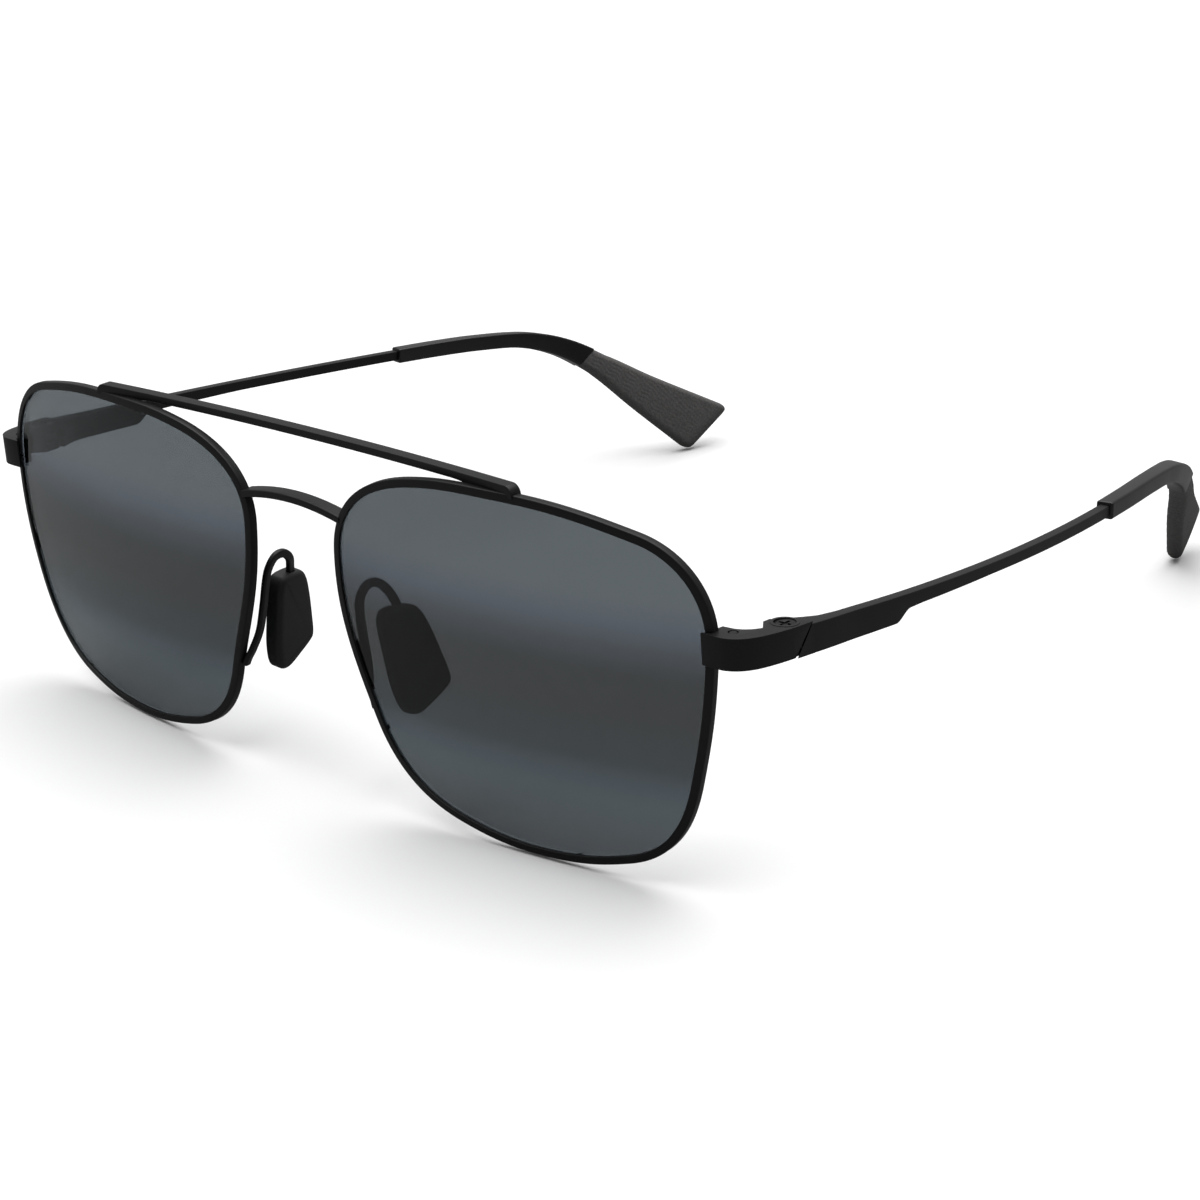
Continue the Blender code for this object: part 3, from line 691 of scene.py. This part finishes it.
def endpiece_plan():
    outer = [tuple(p) for p in smooth_path([(x, y, 0) for x, y in ENDPIECE_OUTER], 5)]
    inner = [tuple(p) for p in smooth_path([(x, y, 0) for x, y in ENDPIECE_INNER], 5)]
    return [p[:2] for p in outer] + list(ENDPIECE_HINGE_SIDE) + [p[:2] for p in inner] + list(ENDPIECE_PLATE)


def slot_plan():
    """Room for the knuckle: round at the front and on the outer side, open at the back and inwards."""
    front = math.pi - math.asin(SLOT_START / SLOT_RADIUS)
    plan = circle(SLOT_RADIUS, start=front, end=math.tau)
    plan += [(HINGE.x + SLOT_RADIUS, HINGE.y + SLOT_END), (HINGE.x - SLOT_END, HINGE.y + SLOT_END),
             (HINGE.x - SLOT_END, HINGE.y + SLOT_START)]
    return plan


def make_endpiece(side, sign, metal):
    body = prism(endpiece_plan(), ENDPIECE_BOTTOM, ENDPIECE_TOP, ENDPIECE_FALLS)
    leaves = prism(circle(LEAF_RADIUS), ENDPIECE_BOTTOM - LEAF_PROUD, ENDPIECE_TOP + LEAF_PROUD,
                   ENDPIECE_FALLS)
    item = mesh_object(f"endpiece_{side}_fine", body, sign)
    cut(item, seam_block(0.0, behind=True), sign)
    cut(item, leaves, sign, "UNION")
    cut(item, prism(slot_plan(), SLOT_BOTTOM, SLOT_TOP), sign)
    cut(item, box(*LOCK_NOTCH), sign)
    round_edges(item, ENDPIECE_ROUND)
    pivot = PIVOT_RADIUS + PIVOT_GAP
    seat = leaf_top() - HEAD_HEIGHT
    bore = ((pivot, ENDPIECE_BOTTOM - OVER), (pivot, seat), (HEAD_RADIUS + PIVOT_GAP, seat),
            (HEAD_RADIUS + PIVOT_GAP, leaf_top() + OVER))
    cut(item, stepped(bore, (HINGE.x, HINGE.y)), sign)
    thread = disc(RIM_SCREW_RADIUS + SCREW_RING, LOCK_SPLIT - OVER, ENDPIECE_TOP + OVER, RIM_SCREW_XY)
    cut(item, thread, sign)
    return finish_piece(item, metal, f"endpiece_{side}", "front")


def make_temple(side, sign, metal):
    item = mesh_object(f"temple_{side}_fine", temple_shape(), sign)
    start = TEMPLE_THICKNESS[0][0]
    height = TEMPLE_HEIGHT[0][1]
    outer, top = temple_outer(start), bow(TEMPLE_TOP, start)
    front, back = HINGE.y - LEAF_RADIUS, start + LAP
    plan = [(HINGE.x + LAP, front), (outer, front), (outer, back), (HINGE.x + LAP, back)]
    lift = NOSE_FALL * (start - SLOPE_START)
    nose = prism(plan, top - height + lift + NOSE_INSET, top + lift - NOSE_INSET, (NOSE_FALL, NOSE_FALL))
    cut(item, nose, sign, "UNION")
    cut(item, seam_block(SEAM_GAP, behind=False), sign)
    cut(item, disc(LEAF_RADIUS + 2 * SEAM_GAP, ENDPIECE_BOTTOM - OVER, ENDPIECE_TOP + OVER), sign)
    neck = circle(KNUCKLE_RADIUS, start=math.pi, end=math.tau)
    neck += [(HINGE.x + KNUCKLE_RADIUS, start + LAP), (HINGE.x - NECK_SIDE, start + LAP),
             (HINGE.x - NECK_SIDE, HINGE.y + NECK_FRONT)]
    round_edges(item, TEMPLE_EDGE)
    cut(item, seam_groove(outer), sign)
    gap = WASHER + 2 * WASHER_GAP
    cut(item, prism(neck, SLOT_BOTTOM + gap, SLOT_TOP - gap), sign, "UNION")
    cut(item, disc(PIVOT_RADIUS + PIVOT_GAP, SLOT_BOTTOM, SLOT_TOP), sign)
    return finish_piece(item, metal, f"temple_{side}", f"temple_{side}")


def make_rim_screw(side, sign, steel):
    end = rim_screw_top() - SCREW_SUNK
    head_top = ENDPIECE_BOTTOM + RIM_SCREW_HEAD
    profile = ((RIM_SCREW_HEAD_RADIUS, ENDPIECE_BOTTOM + FIT_GAP), (RIM_SCREW_HEAD_RADIUS, head_top),
               (RIM_SCREW_RADIUS, head_top), (RIM_SCREW_RADIUS, end - SCREW_CHAMFER),
               (RIM_SCREW_RADIUS - SCREW_CHAMFER, end))
    item = mesh_object(f"rim_screw_{side}_fine", stepped(profile, RIM_SCREW_XY), sign)
    return finish_piece(item, steel, f"rim_screw_{side}", "front", 30)


def make_hinge_screw(side, sign, steel):
    seat = leaf_top() - HEAD_HEIGHT + PIVOT_GAP
    head_top = leaf_top() - SUNK
    profile = ((PIVOT_RADIUS, ENDPIECE_BOTTOM - SCREW_TIP), (PIVOT_RADIUS, seat), (HEAD_RADIUS, seat),
               (HEAD_RADIUS, head_top))
    item = mesh_object(f"hinge_screw_{side}_fine", stepped(profile, (HINGE.x, HINGE.y)), sign)
    for dx, dy in (CROSS_SLOT, CROSS_SLOT[::-1]):
        cut(item, box((HINGE.x - dx, HINGE.y - dy, head_top - CROSS_DEPTH),
                      (HINGE.x + dx, HINGE.y + dy, head_top + OVER)), sign)
    round_edges(item, SCREW_EDGE, 2)
    return finish_piece(item, steel, f"hinge_screw_{side}", "front")


# ---------------------------------------------------------------- pads and their arms

def arm_rings(width, thickness, begin=0):
    path = smooth_path(ARM_PATH, ARM_STEPS)
    rear = Vector(PAD_REAR).normalized()
    inward = rear.cross(Vector(PAD_UP)).normalized()
    rings = []
    for i in range(begin, len(path)):
        along = (path[min(i + 1, len(path) - 1)] - path[max(i - 1, 0)]).normalized()
        through = (inward - along * inward.dot(along)).normalized()
        rings.append(section_ring(path[i], through.cross(along), through,
                                  oblong(width, thickness, ARM_ROUND)))
    return rings


def drawn_in(outline, amount):
    """The outline moved inwards by an amount, every edge staying parallel to itself."""
    moved = []
    for i, point in enumerate(outline):
        before = (point - outline[i - 1]).normalized()
        after = (outline[(i + 1) % len(outline)] - point).normalized()
        middle = (before + after).normalized()
        reach = amount / max(0.5, middle.dot(after))
        moved.append(point + Vector((middle.y, -middle.x)) * reach)
    return moved


def pad_shape():
    up = Vector(PAD_UP).normalized()
    rear = Vector(PAD_REAR)
    rear = (rear - up * rear.dot(up)).normalized()
    outward = rear.cross(up)
    outline = fillet(PAD_OUTLINE, PAD_CORNER, 4)
    profile = []
    for angle in (84, 66, 48, 30, 12, 0):
        a = math.radians(angle)
        profile.append((PAD_HALF_THICKNESS - PAD_ROUND * (1 - math.sin(a)), PAD_ROUND * (1 - math.cos(a))))
    profile.insert(0, (PAD_HALF_THICKNESS, PAD_ROUND + PAD_FLAT))
    profile = [(-depth, inset) for depth, inset in profile] + list(reversed(profile))
    rings = []
    for depth, inset in profile:
        rings.append([Vector(PAD_CENTRE) + rear * a + up * b - outward * depth
                      for a, b in drawn_in(outline, inset)])
    return loft(rings)


def make_pad(side, sign, metal, rubber):
    arm = mesh_object(f"pad_arm_{side}_fine", loft(arm_rings(ARM_WIDTH, ARM_THICKNESS)), sign)
    finish_piece(arm, metal, f"pad_arm_{side}", "front")
    pad = mesh_object(f"nose_pad_{side}_fine", pad_shape(), sign)
    slot = arm_rings(ARM_WIDTH + 2 * PAD_SLOT_GAP, ARM_THICKNESS + 2 * PAD_SLOT_GAP,
                     begin=ARM_INTO_PAD * ARM_STEPS)
    slot.append([2 * b - a for a, b in zip(slot[-2], slot[-1])])
    cut(pad, loft(slot), sign)
    finish_piece(pad, rubber, f"nose_pad_{side}", "front")


# ---------------------------------------------------------------- materials

def new_material(name):
    material = bpy.data.materials.new(name)
    material.use_nodes = True
    nodes = material.node_tree.nodes
    return material, nodes, material.node_tree.links, nodes["Principled BSDF"]


def grainy(name, dark, light, roughness, grain, bump, metallic=0.0, specular=0.5):
    """A fine-grained finish, whose tone, gloss and surface vary. The grain is in grains per metre."""
    material, nodes, links, shader = new_material(name)
    place = nodes.new("ShaderNodeTexCoord")
    fine = nodes.new("ShaderNodeTexNoise")
    fine.inputs["Scale"].default_value = grain
    fine.inputs["Detail"].default_value = 3.0
    broad = nodes.new("ShaderNodeTexNoise")
    broad.inputs["Scale"].default_value = grain / 30
    tone = nodes.new("ShaderNodeValToRGB")
    tone.color_ramp.elements[0].position = 0.3
    tone.color_ramp.elements[0].color = (*dark, 1.0)
    tone.color_ramp.elements[1].position = 0.75
    tone.color_ramp.elements[1].color = (*light, 1.0)
    gloss = nodes.new("ShaderNodeMapRange")
    gloss.inputs["To Min"].default_value = roughness - 0.06
    gloss.inputs["To Max"].default_value = roughness + 0.08
    relief = nodes.new("ShaderNodeBump")
    relief.inputs["Strength"].default_value = bump
    relief.inputs["Distance"].default_value = 0.3 / grain
    links.new(place.outputs["Object"], fine.inputs["Vector"])
    links.new(place.outputs["Object"], broad.inputs["Vector"])
    links.new(fine.outputs["Fac"], tone.inputs["Fac"])
    links.new(broad.outputs["Fac"], gloss.inputs["Value"])
    links.new(fine.outputs["Fac"], relief.inputs["Height"])
    links.new(tone.outputs["Color"], shader.inputs["Base Color"])
    links.new(gloss.outputs["Result"], shader.inputs["Roughness"])
    links.new(relief.outputs["Normal"], shader.inputs["Normal"])
    shader.inputs["Metallic"].default_value = metallic
    shader.inputs["Specular IOR Level"].default_value = specular
    return material


LENS_TINT = (
    (-20.0, (0.078, 0.088, 0.096)),
    (-14.0, (0.071, 0.087, 0.094)),
    (-11.5, (0.059, 0.072, 0.083)),
    (-8.5, (0.041, 0.048, 0.052)),
    (-2.0, (0.038, 0.041, 0.042)),
    (3.0, (0.038, 0.042, 0.044)),
    (6.0, (0.053, 0.060, 0.069)),
    (9.0, (0.074, 0.088, 0.104)),
    (12.0, (0.090, 0.104, 0.113)),
)


def lens_material():
    """Grey glass whose tint runs from light at the top, through a dark band, to mid-grey at the bottom."""
    material, nodes, links, shader = new_material("grey_gradient_lens")
    place = nodes.new("ShaderNodeTexCoord")
    split = nodes.new("ShaderNodeSeparateXYZ")
    span = nodes.new("ShaderNodeMapRange")
    low, high = LENS_TINT[0][0], LENS_TINT[-1][0]
    span.inputs["From Min"].default_value = (ORIGIN.z + low) * MM
    span.inputs["From Max"].default_value = (ORIGIN.z + high) * MM
    tint = nodes.new("ShaderNodeValToRGB")
    ramp = tint.color_ramp.elements
    while len(ramp) < len(LENS_TINT):
        ramp.new(0.5)
    for element, (height, colour) in zip(ramp, LENS_TINT):
        element.position = (height - low) / (high - low)
        element.color = (*colour, 1.0)
    links.new(place.outputs["Object"], split.inputs["Vector"])
    links.new(split.outputs["Z"], span.inputs["Value"])
    links.new(span.outputs["Result"], tint.inputs["Fac"])
    links.new(tint.outputs["Color"], shader.inputs["Base Color"])
    shader.inputs["Roughness"].default_value = 0.0
    shader.inputs["IOR"].default_value = 1.4
    shader.inputs["Transmission Weight"].default_value = 1.0
    return material


# ---------------------------------------------------------------- stage

def make_camera():
    camera = bpy.data.cameras.new("camera")
    camera.lens = 86.55
    camera.sensor_width = 36.0
    camera.clip_start = 0.01
    camera.clip_end = 50.0
    item = bpy.data.objects.new("camera", camera)
    item.location = (0.2594, -0.2838, 0.1556)
    item.rotation_euler = [math.radians(a) for a in (68.41, 3.52, 42.39)]
    bpy.context.scene.collection.objects.link(item)
    bpy.context.scene.camera = item


def seen_directly(nodes, links):
    """1 for what the camera sees straight or through the lenses, 0 for reflections and soft light."""
    path = nodes.new("ShaderNodeLightPath")
    either = nodes.new("ShaderNodeMath")
    either.operation = "MAXIMUM"
    links.new(path.outputs["Is Camera Ray"], either.inputs[0])
    links.new(path.outputs["Is Transmission Ray"], either.inputs[1])
    return either.outputs["Value"]


def make_floor():
    mesh = bpy.data.meshes.new("floor")
    half = FLOOR_HALF
    corners = [(-half, -half, 0), (half, -half, 0), (half, half, 0), (-half, half, 0)]
    mesh.from_pydata(corners, [], [(0, 1, 2, 3)])
    floor = bpy.data.objects.new("floor", mesh)
    bpy.context.scene.collection.objects.link(floor)
    material, nodes, links, shader = new_material("pale_floor")
    tone = nodes.new("ShaderNodeMix")
    tone.data_type = "RGBA"
    tone.inputs["A"].default_value = (FLOOR_SOFT, FLOOR_SOFT, FLOOR_SOFT, 1.0)
    tone.inputs["B"].default_value = (FLOOR_SEEN, FLOOR_SEEN, FLOOR_SEEN, 1.0)
    links.new(seen_directly(nodes, links), tone.inputs["Factor"])
    links.new(tone.outputs["Result"], shader.inputs["Base Color"])
    shader.inputs["Roughness"].default_value = 0.95
    shader.inputs["Specular IOR Level"].default_value = 0.0
    mesh.materials.append(material)


def make_sun():
    """A broad soft light from above and a little behind, wide enough for a shadow with no edge."""
    light = bpy.data.lights.new("soft_light", "SUN")
    light.energy = SUN_POWER
    light.angle = math.radians(SUN_WIDTH)
    item = bpy.data.objects.new("soft_light", light)
    item.rotation_euler = Vector(SUN_AIM).to_track_quat("-Z", "Y").to_euler()
    bpy.context.scene.collection.objects.link(item)


def make_world():
    """White where it is seen directly. For the rest, bright above and behind, dim in front."""
    world = bpy.data.worlds.new("studio")
    world.use_nodes = True
    nodes, links = world.node_tree.nodes, world.node_tree.links
    backdrop = nodes["Background"]
    place = nodes.new("ShaderNodeTexCoord")
    facing = nodes.new("ShaderNodeVectorMath")
    facing.operation = "DOT_PRODUCT"
    facing.inputs[1].default_value = Vector(BRIGHT_SIDE).normalized()
    ramp = nodes.new("ShaderNodeValToRGB")
    stops = ((0.0, WORLD_DIM), (0.45, WORLD_DIM), (0.8, WORLD_BRIGHT), (1.0, WORLD_BRIGHT))
    while len(ramp.color_ramp.elements) < len(stops):
        ramp.color_ramp.elements.new(0.5)
    for element, (position, level) in zip(ramp.color_ramp.elements, stops):
        element.position = position
        element.color = (level, level, level, 1.0)
    span = nodes.new("ShaderNodeMapRange")
    span.inputs["From Min"].default_value = -1.0
    tone = nodes.new("ShaderNodeMix")
    tone.data_type = "RGBA"
    tone.inputs["B"].default_value = (1.0, 1.0, 1.0, 1.0)
    links.new(place.outputs["Generated"], facing.inputs[0])
    links.new(facing.outputs["Value"], span.inputs["Value"])
    links.new(span.outputs["Result"], ramp.inputs["Fac"])
    links.new(ramp.outputs["Color"], tone.inputs["A"])
    links.new(seen_directly(nodes, links), tone.inputs["Factor"])
    links.new(tone.outputs["Result"], backdrop.inputs["Color"])
    bpy.context.scene.world = world
    bpy.context.scene.view_settings.view_transform = "Standard"


# ---------------------------------------------------------------- scene

def simple_piece(name, shape, sign, material, node, body, sharp=40):
    return finish_piece(mesh_object(name, shape, sign), material, node, body, sharp)


def build():
    make_camera()
    make_floor()
    make_world()
    make_sun()
    metal = grainy("matt_black_metal", (0.004, 0.004, 0.0045), (0.009, 0.009, 0.0095), 0.4, 9000, 0.12,
                   specular=0.3)
    steel = grainy("dark_screw_steel", (0.012, 0.012, 0.012), (0.03, 0.03, 0.03), 0.35, 12000, 0.1, 0.8)
    plastic = grainy("black_tip_plastic", (0.004, 0.004, 0.004), (0.008, 0.008, 0.0085), 0.3, 5000, 0.05)
    rubber = grainy("black_pad_rubber", (0.005, 0.005, 0.0055), (0.011, 0.011, 0.012), 0.6, 5000, 0.2)
    grip = grainy("grey_tip_rubber", (0.075, 0.072, 0.071), (0.13, 0.125, 0.123), 0.7, 3000, 0.3)
    glass = lens_material()
    for side, sign in SIDES.items():
        simple_piece(f"lens_{side}_fine", lens_shape(), sign, glass,
                     f"lens_{side}", "front", 30)
        simple_piece(f"rim_{side}_fine", rim_shape(), sign, metal,
                     f"rim_{side}", "front", 30)
        make_endpiece(side, sign, metal)
        make_hinge_screw(side, sign, steel)
        make_rim_screw(side, sign, steel)
        make_pad(side, sign, metal, rubber)
        make_temple(side, sign, metal)
        simple_piece(f"tip_sleeve_{side}_fine", sleeve_shape(), sign, plastic,
                     f"tip_sleeve_{side}", f"temple_{side}")
        simple_piece(f"tip_grip_{side}_fine", grip_shape(), sign, grip,
                     f"tip_grip_{side}", f"temple_{side}")
        for node, material in ((f"rim_lock_{side}", metal), (f"hinge_washer_lower_{side}", steel),
                               (f"hinge_washer_upper_{side}", steel)):
            mesh = frame["nodes"][node].data
            mesh.materials.clear()
            mesh.materials.append(material)
    simple_piece("brow_bar_fine", brow_bar_shape(), 1, metal, "brow_bar", "front")
    simple_piece("nose_bridge_fine", bridge_shape(), 1, metal, "nose_bridge", "front")


build()
